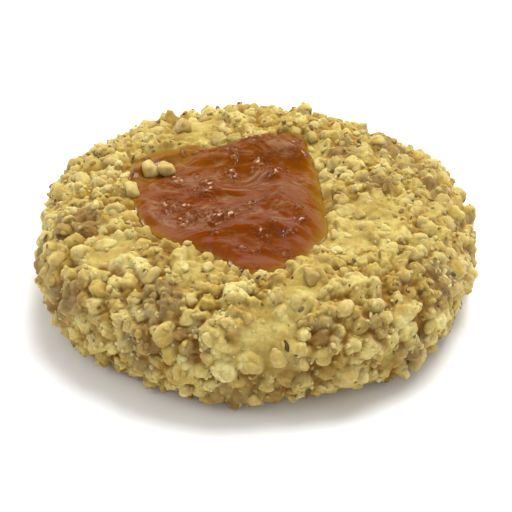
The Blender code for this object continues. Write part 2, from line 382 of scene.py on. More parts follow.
def raise_over(rows, points, tones, nuts, seed, stand):
    """How far the skin stands over each nut under it. The nut's tone goes into the tones there.
    Over a nut of radius R the skin is a dome of height stand R (1 - g^4)^0.6 with a leaning
    top, on a skirt that reaches out to g = 1.35. Here g is the soft most of the distances past
    six sides, each at its own share of R, made uneven by swells."""
    draw = np.random.default_rng(seed)
    middles, outward = dough_surface(*nuts[:2]), unit(dough_facing(*nuts[:2]))
    lift = np.zeros(points.shape[:2])
    uneven = 1 + 0.18 * swells(points, 1.1, seed, 2)
    sectors = points.shape[1]
    for middle, out, row, turn, size, tone in zip(middles, outward, *nuts):
        radius = size / 2
        high = int(1.5 * radius / SKIN_STEP) + 2
        wide = int(1.5 * radius * sectors / (tau * max(np.hypot(middle[0], middle[1]), 6))) + 2
        at = np.searchsorted(rows, row)
        band = slice(max(at - high, 0), min(at + high + 1, len(rows)))
        sides = (round(turn / tau * sectors) + np.arange(-wide, wide + 1)) % sectors
        away = points[band, sides] - middle
        away = away - (away @ out)[..., None] * out
        across = unit(np.cross(out, draw.normal(size=3)))
        long, wide_of = away @ across / radius, away @ np.cross(out, across) / radius
        angles = np.arange(6) * tau / 6 + draw.uniform(-0.4, 0.4, 6)
        past = long[..., None] * np.cos(angles) + wide_of[..., None] * np.sin(angles)
        past = np.maximum(past, 0) / draw.uniform(0.68, 1.15, 6)
        gap = (past**6).sum(-1) ** (1 / 6) * uneven[band, sides]
        top = draw.uniform(0.55, 1.1) + long * draw.uniform(-0.5, 0.5)
        top = top + wide_of * draw.uniform(-0.5, 0.5)
        skirt = smooth_step((1.35 - gap) / 0.6)
        dome = stand * radius * top * (np.clip(1 - gap**4, 0, 1) ** 0.6 * 0.8 + 0.2 * skirt)
        higher = dome > lift[band, sides]
        lift[band, sides] = np.where(higher, dome, lift[band, sides])
        share = np.where(higher, smooth_step((1.15 - gap) / 0.3), 0)
        tones[band, sides] += (tone - tones[band, sides]) * share
    return lift


SIZE_EASE = 0.4 * MM


def within_size(points):
    """Points in metres, held inside the cookie's measured size: the last bit before each side
    eases towards it as 1 - e^-t. Nothing is held back from the tray."""
    low, high = np.array(cad_box)
    middle, half, ease = (low + high) / 2, (high - low) / 2, SIZE_EASE
    away = points - middle
    past = np.maximum(np.abs(away) - (half - ease), 0)
    held = np.sign(away) * np.minimum(np.abs(away), half - ease + ease * (1 - np.exp(-past / ease)))
    below = np.where([True, True, False], middle + held, points)
    return np.where(points < middle, below, middle + held)


def add_object(name, data):
    thing = bpy.data.objects.new(name, data)
    bpy.context.scene.collection.objects.link(thing)
    return thing


def new_piece(name, points, faces, values, material):
    """A mesh from whole arrays: points in millimetres, faces of three or four corners, and
    named values for each point."""
    mesh = bpy.data.meshes.new(name)
    sides = faces.shape[1]
    mesh.vertices.add(len(points))
    mesh.vertices.foreach_set("co", within_size((points + MIDDLE) * MM).astype(np.float32).ravel())
    mesh.loops.add(faces.size)
    mesh.loops.foreach_set("vertex_index", faces.astype(np.int32).ravel())
    mesh.polygons.add(len(faces))
    mesh.polygons.foreach_set("loop_start", np.arange(0, faces.size, sides, dtype=np.int32))
    mesh.update(calc_edges=True)
    mesh.shade_smooth()
    for key, numbers in values.items():
        attribute = mesh.attributes.new(key, "FLOAT", "POINT").data
        attribute.foreach_set("value", numbers.astype(np.float32).ravel())
    mesh.materials.append(material)
    return add_object(name, mesh)


def ring_faces(rings, sectors):
    """Quads between each ring of a grid and the next, the last sector joined to the first."""
    ring, sector = np.meshgrid(np.arange(rings - 1), np.arange(sectors), indexing="ij")
    here, after = ring * sectors + sector, ring * sectors + (sector + 1) % sectors
    return np.stack((here, after, after + sectors, here + sectors), -1).reshape(-1, 4)


MERGE_WITHIN = 0.00001 * MM


def closed_rings(name, rings, values, material):
    """A closed skin over stacked rings of points, whose first and last ring each lie in one
    place, where all corners are merged into one."""
    count, sectors, _ = rings.shape
    piece = new_piece(name, rings.reshape(-1, 3), ring_faces(count, sectors), values, material)
    shape = bmesh.new()
    shape.from_mesh(piece.data)
    bmesh.ops.remove_doubles(shape, verts=shape.verts, dist=MERGE_WITHIN)
    bmesh.ops.dissolve_degenerate(shape, edges=shape.edges, dist=MERGE_WITHIN)
    shape.to_mesh(piece.data)
    shape.free()
    return piece


def shader_tree(name):
    material = bpy.data.materials.new(name)
    material.use_nodes = True
    return material, material.node_tree, material.node_tree.nodes["Principled BSDF"]


def add_node(tree, kind, settings=None, **inputs):
    """Adds a shader node. Settings are its own fields; inputs are values or links, by socket
    name with spaces as underscores, or by number as _0, _1."""
    node = tree.nodes.new("ShaderNode" + kind)
    for key, value in (settings or {}).items():
        setattr(node, key, value)
    for key, value in inputs.items():
        socket = node.inputs[int(key[1:])] if key[0] == "_" else node.inputs[key.replace("_", " ")]
        if isinstance(value, bpy.types.NodeSocket):
            tree.links.new(value, socket)
        else:
            socket.default_value = value
    return node


def colour_ramp(tree, factor, stops):
    """A ramp through (place, colour) stops."""
    node = add_node(tree, "ValToRGB", _0=factor)
    ramp = node.color_ramp
    while len(ramp.elements) < len(stops):
        ramp.elements.new(0.5)
    for element, (place, colour) in zip(ramp.elements, stops):
        element.position, element.color = place, (*colour, 1)
    return node.outputs["Color"]


def mix(tree, factor, low, high, blend="MIX"):
    node = add_node(tree, "Mix", {"data_type": "RGBA", "blend_type": blend})
    for index, value in ((0, factor), (6, low), (7, high)):
        if isinstance(value, bpy.types.NodeSocket):
            tree.links.new(value, node.inputs[index])
        else:
            node.inputs[index].default_value = (*value, 1) if index else value
    return node.outputs[2]


def sum_up(tree, operation, first, second=0.0, third=0.0):
    settings = {"operation": operation}
    return add_node(tree, "Math", settings, _0=first, _1=second, _2=third).outputs[0]


def eased(tree, value, low, high, start, end):
    """A value eased from start to end as it goes from low to high."""
    node = add_node(tree, "MapRange", {"interpolation_type": "SMOOTHSTEP"}, Value=value)
    for key, number in (("From Min", low), ("From Max", high), ("To Min", start), ("To Max", end)):
        node.inputs[key].default_value = number
    return node.outputs[0]


def tinted(tree, colour, tint):
    """A colour multiplied by a tint."""
    return mix(tree, 1.0, colour, tint, "MULTIPLY")


def noise(tree, place, scale, detail, roughness, distortion=0.0):
    return add_node(
        tree, "TexNoise", Vector=place, Scale=scale, Detail=detail, Roughness=roughness,
        Distortion=distortion,
    ).outputs["Fac"]


def stored(tree, *names):
    """The values that a piece's mesh keeps for each point, by their names."""
    return [add_node(tree, "Attribute", {"attribute_name": name}).outputs["Fac"] for name in names]


def set_sockets(shader, **values):
    """Sets the shader's own sockets, by name with spaces as underscores."""
    for key, value in values.items():
        shader.inputs[key.replace("_", " ")].default_value = value


def add_bumps(tree, shader, height, strength, distance):
    bump = add_node(tree, "Bump", Strength=strength, Distance=distance, Height=height)
    tree.links.new(bump.outputs[0], shader.inputs["Normal"])


def baked_grain():
    """The grain of baked crumb, for dough and nuts. Small crumbs are cells of a bent lattice,
    each a little lighter or darker and darker at its edge, partly a brown outline and partly
    painted shade in the crease between crumbs; over them lie a soft mottling and a few dark
    flecks of skin. The height is crumbs and fine noise together."""
    group = bpy.data.node_groups.new("baked_grain", "ShaderNodeTree")
    for name, way, kind in (
        ("Colour", "INPUT", "Color"), ("Crumbs per metre", "INPUT", "Float"), ("Mottle", "INPUT", "Float"),
        ("Flecks", "INPUT", "Float"), ("Colour", "OUTPUT", "Color"), ("Height", "OUTPUT", "Float"),
    ):
        group.interface.new_socket(name, in_out=way, socket_type="NodeSocket" + kind)
    start, end = group.nodes.new("NodeGroupInput"), group.nodes.new("NodeGroupOutput")
    colour, per_metre, mottle, flecks = (start.outputs[index] for index in range(4))
    place = add_node(group, "TexCoord").outputs["Object"]
    bend = add_node(group, "TexNoise", Vector=place, Scale=900.0, Detail=2.0).outputs["Color"]
    half, reach = (0.5, 0.5, 0.5), (0.0009, 0.0009, 0.0009)
    bend = add_node(group, "VectorMath", {"operation": "SUBTRACT"}, _0=bend, _1=half).outputs[0]
    bent = add_node(
        group, "VectorMath", {"operation": "MULTIPLY_ADD"}, _0=bend, _1=reach, _2=place,
    ).outputs[0]
    cells = add_node(group, "TexVoronoi", Vector=bent, Scale=per_metre)
    edges = add_node(
        group, "TexVoronoi", {"feature": "DISTANCE_TO_EDGE"}, Vector=bent, Scale=per_metre,
    ).outputs["Distance"]
    own = add_node(group, "SeparateColor", _0=cells.outputs["Color"]).outputs[0]
    darker, lighter = tinted(group, colour, (0.8, 0.72, 0.58)), tinted(group, colour, (1.16, 1.2, 1.34))
    colour = mix(group, mottle, colour, mix(group, own, darker, lighter))
    # Painted shade and brown outlines in the creases along the crumbs' edges.
    edge = sum_up(group, "MULTIPLY", eased(group, edges, 0.0, 0.16, 0.6, 0.0), mottle)
    colour = mix(group, edge, colour, tinted(group, colour, (0.62, 0.5, 0.34)))
    dark = eased(group, noise(group, place, 330.0, 5.0, 0.62), 0.36, 0.62, 0.9, 0.0)
    colour = mix(group, dark, colour, tinted(group, colour, (0.76, 0.66, 0.52)))
    toast = eased(group, noise(group, bent, 620.0, 3.0, 0.55), 0.55, 0.72, 0.0, 0.55)
    colour = mix(group, toast, colour, tinted(group, colour, (0.84, 0.62, 0.34)))
    spots = add_node(group, "TexVoronoi", Vector=bent, Scale=560.0)
    spot = add_node(group, "SeparateColor", _0=spots.outputs["Color"]).outputs[0]
    near = eased(group, spots.outputs["Distance"], 0.1, 0.24, 1.0, 0.0)
    fleck = sum_up(group, "MULTIPLY", sum_up(group, "GREATER_THAN", spot, 0.86), near)
    colour = mix(group, sum_up(group, "MULTIPLY", fleck, flecks), colour, (0.06, 0.032, 0.016))
    fine = sum_up(group, "MULTIPLY", noise(group, place, 4200.0, 3.0, 0.65), 0.8)
    height = sum_up(group, "MULTIPLY_ADD", eased(group, edges, 0.0, 0.3, 0.0, 1.0), 0.6, fine)
    group.links.new(colour, end.inputs[0])
    group.links.new(height, end.inputs[1])
    return group


GRAIN = baked_grain()


def add_grain(tree, shader, colour, per_metre, mottle, flecks, strength, distance):
    """Gives the shader the colour with the baked grain over it, and the grain's bumps."""
    grained, height = add_node(
        tree, "Group", {"node_tree": GRAIN},
        Colour=colour, Crumbs_per_metre=per_metre, Mottle=mottle, Flecks=flecks,
    ).outputs
    tree.links.new(grained, shader.inputs["Base Color"])
    add_bumps(tree, shader, height, strength, distance)


def dough_material():
    """Pale yellow shortbread with grey brown patches of ground nut skins, and painted shade in its
    hollows: dark saturated brown where the crust lies low."""
    material, tree, shader = shader_tree("baked_dough")
    painted_shade, bare, tone, paste = stored(tree, "painted_shade", "bare", "tone", "paste")
    nutty = colour_ramp(tree, tone, (
        (0.0, (0.34, 0.23, 0.054)), (0.5, (0.5, 0.385, 0.102)), (1.0, (0.63, 0.545, 0.215)),
    ))
    pale = colour_ramp(tree, tone, ((0.0, (0.46, 0.365, 0.098)), (1.0, (0.56, 0.465, 0.155))))
    colour = mix(tree, bare, nutty, pale)
    colour = mix(tree, sum_up(tree, "MULTIPLY", paste, 0.92), colour, (0.255, 0.175, 0.072))
    # Painted shade: the crust's low places and creases turn dark saturated brown.
    colour = mix(tree, eased(tree, painted_shade, 0.15, 0.95, 0.0, 0.88), colour, (0.25, 0.12, 0.011))
    add_grain(tree, shader, colour, 1200.0, 0.26, 0.8, 0.4, 0.00012)
    set_sockets(
        shader, Roughness=0.6, Specular_IOR_Level=0.15, Subsurface_Weight=0.5,
        Subsurface_Radius=(0.001, 0.0008, 0.0004), Subsurface_Scale=1.0,
    )
    return material


# The solid lies with the middle of its box at 0, so all is moved by what its jam shows. The
# jam's edge has 56 corners there.
solid_turns = np.arange(56) * tau / 56
solid_edge = np.stack(print_place(round_curve(JAM_EDGE, solid_turns), solid_turns), -1)
box_middle = np.add(*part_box("jam_filling"))[:2] / 2 / MM
MIDDLE = np.append(box_middle - (solid_edge.min(0) + solid_edge.max(0)) / 2, 0)

DOUGH_SECTORS, DOUGH_ROWS, SKIN_STEP = 592, 158, 0.2
SIZE = 2
large_points, *large = large_nut_places()
SHOWN_LUMPS = np.array((
    (1.485, 327, 2.3, 0.72), (1.337, 312, 1.8, 0.85), (1.607, 326, 1.0, 0.8), (1.571, 331, 1.2, 0.75),
    (1.489, 335, 2.2, 0.7), (1.13, 290, 2.0, 0.8), (1.517, 303, 3.2, 0.78), (1.071, 311, 3.2, 0.8),
    (1.2, 312, 2.3, 0.75), (1.102, 319, 1.7, 0.7), (1.696, 260, 2.0, 0.7), (1.673, 265, 1.5, 0.75),
    (1.657, 271, 1.6, 0.85), (1.665, 279, 2.0, 0.75), (1.696, 285, 1.7, 0.8), (1.341, 262, 1.9, 0.95),
    (1.243, 258, 3.4, 0.8), (1.356, 251, 2.6, 0.75), (1.54, 263, 3.2, 0.95), (1.423, 277, 1.8, 0.9),
    (1.466, 283, 3.2, 0.7), (1.337, 284, 1.6, 0.7), (1.482, 151, 2.8, 0.8), (1.599, 158, 1.6, 0.65),
    (1.36, 131, 2.0, 0.7), (1.216, 154, 2.3, 0.65), (1.231, 149, 1.7, 0.6), (1.376, 165, 1.9, 0.85),
    (1.126, 169, 1.8, 0.8), (1.099, 174, 2.0, 0.7), (1.415, 178, 1.6, 0.75), (1.556, 187, 1.8, 0.9),
    (1.63, 191, 2.4, 0.85), (1.384, 188, 2.2, 0.6), (1.181, 245, 3.0, 0.72), (1.165, 235, 2.2, 0.75),
    (1.364, 233, 2.2, 0.6), (0.923, 225, 2.6, 0.65), (1.634, 239, 2.0, 0.9), (1.407, 207, 2.6, 0.9),
    (1.356, 216, 2.4, 0.85), (1.517, 219, 2.8, 0.95), (1.267, 203, 2.8, 0.5), (1.302, 241, 1.8, 0.85),
    (1.482, 254, 2.0, 0.5), (1.818, 344, 3.0, 0.9), (1.868, 19, 2.4, 0.85), (1.724, 331, 2.4, 0.85),
    (1.81, 45, 2.4, 0.85), (1.743, 27, 2.8, 0.8), (1.634, 11, 2.4, 0.6), (1.513, 3, 2.6, 0.6),
    (1.399, 344, 2.6, 0.6), (1.177, 336, 2.4, 0.5), (1.388, 291, 2.4, 0.6), (1.04, 299, 3.0, 0.85),
    (0.821, 292, 3.0, 0.8), (1.044, 268, 3.0, 0.8), (0.872, 250, 2.6, 0.6),
))
shown = SHOWN_LUMPS.T.copy()
shown[1] = np.radians(shown[1])
shown_points = dough_surface(*shown[:2])
gaps = np.linalg.norm(large_points[:, None] - shown_points[None], axis=-1).min(1)
large_points, *large = (part[gaps > 0.7 * large[SIZE]] for part in (large_points, *large))
medium = list(scatter(
    1700, 30000, (2.2, 0.9), 0.8, 42, 0.12, (-0.3, 0.6),
    np.concatenate((large_points, shown_points)), np.concatenate((large[SIZE], shown[SIZE])),
))
large.append(np.maximum(nut_tone(large_points, 41), 0.75))
medium.append(nut_tone(dough_surface(*medium[:2]), 43))
rows = even_rows(DOUGH_ROWS, 8.8, 0.12)
turns = np.linspace(0, tau, DOUGH_SECTORS, endpoint=False)
skin, skin_facing, skin_painted_shade, skin_bare = crust_surface(rows[:, None], turns[None, :])
skin_paste = pastiness(skin)
skin_tone = np.clip(0.45 + 0.45 * (pebbles(skin, 1.7, 5)[2] - 0.5) + tone_swells(skin), 0, 1)
medium_lift, large_lift, shown_lift = (
    raise_over(rows, skin, skin_tone, nuts, seed, stand)
    for nuts, seed, stand in ((medium, 46, 0.66), (large, 47, 0.72), (shown, 48, 0.76))
)
lift = np.maximum(medium_lift, large_lift) * (1 - 0.85 * skin_bare)
lift = np.maximum(lift, shown_lift * (1 - 0.35 * skin_bare))
lift = lift * smooth_step((jam_margin(skin) + 0.6) / 0.8)
skin = skin + skin_facing * lift[..., None]
skin[..., 2] = np.maximum(skin[..., 2], 0)
# Painted shade of the skin: where it lies below the mean of the skin around it and in the crust's low
# places, less over the nuts that lift it.
stands = ((skin - dough_surface(rows[:, None], turns[None, :])) * skin_facing).sum(-1)
nearby = sum(np.roll(stands, step, 1) for step in range(-8, 9, 2)) / 9
nearby = np.pad(nearby, ((8, 8), (0, 0)), mode="edge")
nearby = sum(nearby[step:step + len(stands)] for step in range(0, 17, 2)) / 9
sunken = (nearby - stands) / 0.7 * (1 - 0.5 * skin_bare)
skin_painted_shade = np.clip(np.maximum(skin_painted_shade - lift * 0.8, sunken), 0, 1)
# Darker still towards the tray, over the lowest 2 mm of the side.
skin_painted_shade = np.maximum(skin_painted_shade, 0.7 * smooth_step(1.2 - skin[..., 2] / 1.6))
skin_paste = np.clip(skin_paste - lift * 0.5, 0, 1)
FOOT_SHARES = np.array((0.0, 0.25, 0.5, 0.75, 0.93))[:, None, None]
foot = skin[0] * FOOT_SHARES
crown = np.broadcast_to(skin[-1].mean(0), (1, DOUGH_SECTORS, 3))
stack = np.concatenate((foot, skin, crown))
pad = ((len(foot), 1), (0, 0))
dough = closed_rings(
    "dough_body", stack,
    {name: np.pad(values, pad, mode="edge") for name, values in (
        ("painted_shade", skin_painted_shade), ("bare", skin_bare), ("tone", skin_tone), ("paste", skin_paste),
    )},
    dough_material(),
)
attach(dough, "root")
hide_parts("nut_cookie")


# Chopped nuts
# Hazelnuts and almonds chopped to pieces of all sizes, from crumbs of half a millimetre to
# 3 mm, rolled into the dough by hand, so each is sunk in it and they crowd together.
def ball(subdivisions):
    """Points and triangles of a unit ball of even triangles."""
    shape = bmesh.new()
    bmesh.ops.create_icosphere(shape, subdivisions=subdivisions, radius=1)
    points = np.array([vert.co for vert in shape.verts])
    faces = np.array([[vert.index for vert in face.verts] for face in shape.faces])
    shape.free()
    return points, faces


def turned_frames(count, draw):
    """Evenly drawn turns, each a frame of three axes, from four draws each as a quaternion."""
    w, x, y, z = unit(draw.normal(size=(count, 4))).T
    return np.stack((
        1 - 2 * (y * y + z * z), 2 * (x * y - w * z), 2 * (x * z + w * y),
        2 * (x * y + w * z), 1 - 2 * (x * x + z * z), 2 * (y * z - w * x),
        2 * (x * z - w * y), 2 * (y * z + w * x), 1 - 2 * (x * x + y * y),
    ), -1).reshape(count, 3, 3)


def chopped(directions, count, cuts, draw, sharpness=9.0, flatness=(0.62, 1.0)):
    """Chopped pieces: along each direction d the radius is the soft least of the distances
    to a few random cutting planes, (sum of (d.n / h)^p)^(-1/p), made lumpy by swells that
    differ for each piece, then squeezed along one axis."""
    normals = unit(draw.normal(size=(count, cuts, 3)))
    heights = draw.uniform(0.62, 1.05, (count, cuts))
    facing = np.maximum(np.einsum("vi,nki->nvk", directions, normals), 0) / heights[:, None, :]
    radius = ((facing**sharpness).sum(-1) + 0.6) ** (-1 / sharpness)
    lumpy = 1 + 0.24 * swells(directions[None] + 10 * np.arange(count)[:, None, None], 0.8, 91, 2)
    shapes = directions[None] * (radius * lumpy)[..., None]
    squeeze = [draw.uniform(*share, count) for share in (flatness, (0.8, 1.0), (1.0, 1.25))]
    return shapes * np.stack(squeeze, -1)[:, None, :]


def many_balls(name, points, faces, values, material):
    """One mesh of many balls, from the points of each and the triangles of one."""
    count, corners, _ = points.shape
    faces = (faces[None] + (np.arange(count) * corners)[:, None, None]).reshape(-1, 3)
    return new_piece(name, points.reshape(-1, 3), faces, values, material)


def on_skin(row, turn):
    """The place on the finished skin nearest to a row and turn, its facing there, across the
    lines between its neighbours, and the number of its ring and sector."""
    ring = np.abs(rows[None] - row[:, None]).argmin(1)
    sector = np.round(turn / tau * DOUGH_SECTORS).astype(int) % DOUGH_SECTORS
    up = skin[ring + 2, sector] - skin[ring - 2, sector]
    beside = skin[ring, (sector + 2) % DOUGH_SECTORS] - skin[ring, sector - 2]
    return skin[ring, sector], unit(np.cross(beside, up)), ring, sector


def nut_piece(
    name, places, facing, sizes, tone, subdivisions, cuts, sink, seed, flatness=(0.62, 1.0),
):
    """All nuts of one size class as one mesh: chopped shapes, turned at random, set on their
    places and sunk against the facing by a share of their size."""
    draw = np.random.default_rng(seed)
    directions, faces = ball(subdivisions)
    count = len(sizes)
    shapes = chopped(directions, count, cuts, draw, flatness=flatness)
    shapes = np.einsum("nij,nvj->nvi", turned_frames(count, draw), shapes) * (sizes / 2)[:, None, None]
    deep = (draw.uniform(*sink, count) * sizes)[:, None]
    middles = places - facing * deep
    points = middles[:, None, :] + shapes
    points[..., 2] = np.maximum(points[..., 2], 0.02)
    out = np.einsum("nvi,ni->nv", shapes, facing) / (sizes / 2)[:, None] - deep / sizes[:, None]
    roasted = (draw.uniform(0, 1, count) < 0.03) & (sizes < 1.5)
    roast = np.where(roasted, draw.uniform(0.3, 0.8, count), draw.uniform(0, 0.12, count))
    values = {
        "tone": np.repeat(tone, len(directions)),
        "roast": np.repeat(roast, len(directions)),
        # painted shade towards the lower part of each nut, where it sinks into the dough
        "painted_shade": np.clip(0.55 - out, 0, 1),
    }
    piece = many_balls(name, points, faces, values, NUT)
    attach(piece, "root")


def nut_material():
    """Chopped nut flesh: cream to straw, each piece in its own tone and a few roasted brown, with
    painted shade low down where it meets the dough."""
    material, tree, shader = shader_tree("chopped_nut")
    tone, roast, painted_shade = stored(tree, "tone", "roast", "painted_shade")
    flesh = colour_ramp(tree, tone, (
        (0.0, (0.35, 0.245, 0.07)), (0.35, (0.46, 0.355, 0.105)),
        (0.7, (0.57, 0.47, 0.17)), (1.0, (0.67, 0.575, 0.245)),
    ))
    flesh = mix(tree, roast, flesh, (0.19, 0.1, 0.035))
    # Painted shade low down on each nut, where it meets the dough.
    colour = mix(tree, eased(tree, painted_shade, 0.15, 1.0, 0.0, 0.75), flesh, (0.22, 0.12, 0.028))
    add_grain(tree, shader, colour, 1100.0, 0.28, 0.45, 0.35, 0.0001)
    set_sockets(
        shader, Roughness=0.6, Specular_IOR_Level=0.2, Subsurface_Weight=0.45,
        Subsurface_Radius=(0.0012, 0.0009, 0.0004), Subsurface_Scale=1.0,
    )
    return material


NUT = nut_material()
nut_piece(
    "nuts_large", *crust_surface(*large[:2])[:2], *large[2:],
    subdivisions=3, cuts=9, sink=(-0.02, 0.22), seed=41,
)
nut_piece(
    "nuts_shown", *crust_surface(*shown[:2])[:2], shown[SIZE] * 0.85, np.maximum(shown[-1] - 0.05, 0.65),
    subdivisions=3, cuts=9, sink=(-0.06, 0.14), seed=49,
)
medium = [part[::3] for part in medium]
nut_piece(
    "nuts_medium", *crust_surface(*medium[:2])[:2], *medium[2:],
    subdivisions=2, cuts=8, sink=(-0.02, 0.25), seed=43,
)
*small, small_sizes = scatter(2450, 30000, (1.1, 0.35), 0.62, 44, 0.25)
small_places, small_facing, small_ring, small_sector = on_skin(*small)
own_tones = np.random.default_rng(45).normal(0.02, 0.16, len(small_sizes))
nut_piece(
    "nut_crumbs", small_places, small_facing, small_sizes,
    np.clip(skin_tone[small_ring, small_sector] + own_tones, 0, 0.9),
    subdivisions=2, cuts=7, sink=(0.05, 0.32), seed=45, flatness=(0.5, 0.9),
)


# Nut skins
# Brown flakes of the nuts' own skin, thin, dry and dark. They come off as the nuts are
# chopped, are rolled in with them and stick flat to the crust.
SHOWN_FLAKES = np.array((
    (1.349, 181, 0.7), (1.501, 193, 0.5), (1.56, 173, 0.5), (1.579, 137, 0.6), (1.517, 131, 0.4),
    (1.145, 258, 1.2), (0.88, 260, 0.9), (1.169, 277, 1.3), (1.153, 284, 0.7), (1.091, 280, 0.6),
    (0.751, 283, 1.7), (0.778, 275, 0.7), (1.63, 274, 0.5), (1.407, 283, 0.9), (1.587, 246, 0.4),
    (1.521, 300, 0.8), (1.216, 297, 0.5), (1.341, 316, 0.6), (0.903, 313, 0.5), (0.696, 330, 0.5),
    (1.716, 14, 0.5), (1.693, 43, 0.9), (1.755, 44, 0.6), (1.399, 355, 0.6), (1.29, 352, 0.6),
    (1.716, 95, 0.5), (1.482, 216, 0.5),
))


def skin_flakes():
    """Each flake is a ball pressed to a thin, long and uneven leaf, laid on the crust where the
    skin of the dough stands nearest to its place."""
    draw = np.random.default_rng(83)
    directions, faces = ball(2)
    row, turn, sizes = SHOWN_FLAKES.T
    more = scatter(150, 3000, (1.0, 0.35), 2.0, 85, 0.3)
    row, turn, sizes = np.hstack(((row, np.radians(turn), sizes), more))
    count = len(sizes)
    places, facing = on_skin(row, turn)[:2]
    across = unit(np.cross(facing, draw.normal(size=facing.shape)))
    axes = np.stack((across, np.cross(facing, across), facing), 1)
    lumpy = 1 + 0.35 * swells(directions[None] + 10 * np.arange(count)[:, None, None], 1.1, 93, 2)
    thin = (np.ones(count), draw.uniform(0.35, 0.7, count), draw.uniform(0.16, 0.26, count))
    flat = directions[None] * lumpy[..., None] * np.stack(thin, -1)[:, None]
    flat = np.einsum("nvi,nij->nvj", flat, axes) * (sizes / 2)[:, None, None]
    points = places[:, None] + flat + facing[:, None] * 0.02
    points[..., 2] = np.maximum(points[..., 2], 0.02)
    tones = np.repeat(draw.uniform(0, 1, count), len(directions))
    return many_balls("nut_skins", points, faces, {"tone": tones}, skin_material())


def skin_material():
    """Dark brown to purple brown papery skin."""
    material, tree, shader = shader_tree("nut_skin")
    colour = colour_ramp(tree, stored(tree, "tone")[0], (
        (0.0, (0.085, 0.048, 0.026)), (0.6, (0.15, 0.088, 0.042)), (1.0, (0.23, 0.135, 0.055)),
    ))
    tree.links.new(colour, shader.inputs["Base Color"])
    set_sockets(shader, Roughness=0.7, Specular_IOR_Level=0.1)
    return material


flakes = skin_flakes()
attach(flakes, "root")


# Jam
# Apricot jam spooned warm into the thumbprint: a glossy skin, pulp that shows as lumps
# below it, soft folds where the spoon dragged it, and thin amber edges.
JAM_LEVEL, JAM_CLIMB_SHARE = 12.6, 0.4
JAM_EDGE_THICK = (
    (0, 0.6), (40, 0.6), (75, 0.65), (120, 0.3), (180, 0.5), (225, 0.55), (260, 0.65), (290, 0.6),
    (330, 0.5),
)
JAM_LIP_SHARE = (
    (0, 0.22), (40, 0.14), (75, 0.12), (120, 0.06), (180, 0.12), (225, 0.2), (260, 0.3), (290, 0.36),
    (330, 0.3),
)
JAM_LUMPS = (
    (2.6, 10.6, 3.4, 0.8), (1.0, -3.2, 6.3, 1.1), (-5.5, 1.2, 3.0, 0.5), (4.0, 3.0, 3.0, 0.35),
    (-8.5, 6.0, 3.2, -0.6), (-1.0, 6.0, 2.6, -0.6), (-11.0, -3.0, 3.0, -0.2), (-6.0, 9.6, 2.4, 0.3),
    (-3.5, -1.8, 2.2, -0.45),
)
PULP_CLUSTERS = (
    (-0.3, 11.6, 1.3), (-2.7, 9.0, 1.1), (0.5, 8.3, 1.5), (-10.0, 3.5, 1.3), (-6.6, 1.5, 2.0),
    (-10.5, -1.5, 1.6), (-3.2, 6.2, 1.3), (-4.7, -4.8, 2.2), (0.8, -8.7, 1.2), (-1.8, -11.3, 0.8),
    (5.0, -6.0, 1.1), (1.9, 4.8, 1.0), (-0.7, -2.3, 0.8), (4.3, 11.2, 0.9), (-8.0, -4.0, 1.4),
    (-6.0, 4.0, 1.0), (3.8, 5.5, 0.7), (6.0, 9.0, 0.8),
)
JAM_DARKNESS = ((0, 0.45), (60, 0.8), (120, 0.6), (170, 1.0), (220, 1.5), (285, 2.2), (325, 0.8))
JAM_SUNK = 0.12
JAM_SECTORS, JAM_ROWS = 560, 150


def jam_swells(x, y):
    """Soft lumps, each a bell of its own radius and height."""
    return sum(
        height * np.exp(-((x - a) ** 2 + (y - b) ** 2) / radius**2) for a, b, radius, height in JAM_LUMPS
    )


def jam_texture(x, y):
    """Folds that run across the jam in shallow arcs, and knots of pulp: in each, small bits
    stand close together under the skin. Gives the height in millimetres, then 1 on top of a
    bit and 0 away from it, then the same for the whole knot."""
    place = np.stack((x * 0.55 - 0.2 * y, y + 0.05 * (x + 3) ** 2, np.zeros_like(x)), -1)
    folds = 0.66 * swells(place, 3.0, 51, 2) + 0.09 * swells(place, 0.9, 52, 2)
    flat = np.stack((x, y, np.zeros_like(x)), -1)
    knot = sum(np.exp(-(((x - a) ** 2 + (y - b) ** 2) / radius**2) ** 1.5) for a, b, radius in PULP_CLUSTERS)
    knot = np.clip(knot + smooth_step(swells(flat, 1.7, 65, 2) * 2.2 - 0.9) * 0.8, 0, 1)
    bent = flat + 0.18 * np.stack([swells(flat, 0.6, seed, 2) for seed in (63, 64, 66)], -1)
    nearest, _, own, _ = pebbles(bent, 0.52, 57)
    bits = np.sqrt(np.clip(1 - (nearest / 0.78) ** 2, 0, 1)) * (0.35 + 0.65 * own)
    return folds + knot * (0.36 * bits + 0.02), knot * bits, knot


def jam_skin(share, turn):
    """The jam's top: level, with swells and texture, climbing over its outer part to the dough
    at its edge, and rounding down there in a quarter of an ellipse to meet it."""
    edge = ragged_edge(turn)
    x, y = print_place(share * edge, turn)
    rim = dough_top(*print_place(edge, turn))
    climb = smooth_step((share - (1 - JAM_CLIMB_SHARE)) / JAM_CLIMB_SHARE)
    lip_share = round_curve(JAM_LIP_SHARE, turn)
    lip = np.clip((share - (1 - lip_share)) / lip_share, 0, 1)
    high = rim + round_curve(JAM_EDGE_THICK, turn)
    texture, pulp, knot = jam_texture(x, y)
    level = JAM_LEVEL + (high - JAM_LEVEL) * climb + (jam_swells(x, y) + texture) * (1 - lip**2)
    level = level - (high - rim + JAM_SUNK) * (1 - np.sqrt(1 - lip * lip))
    return np.stack((x, y, level), -1), np.maximum(level - dough_top(x, y), 0), pulp, knot, lip


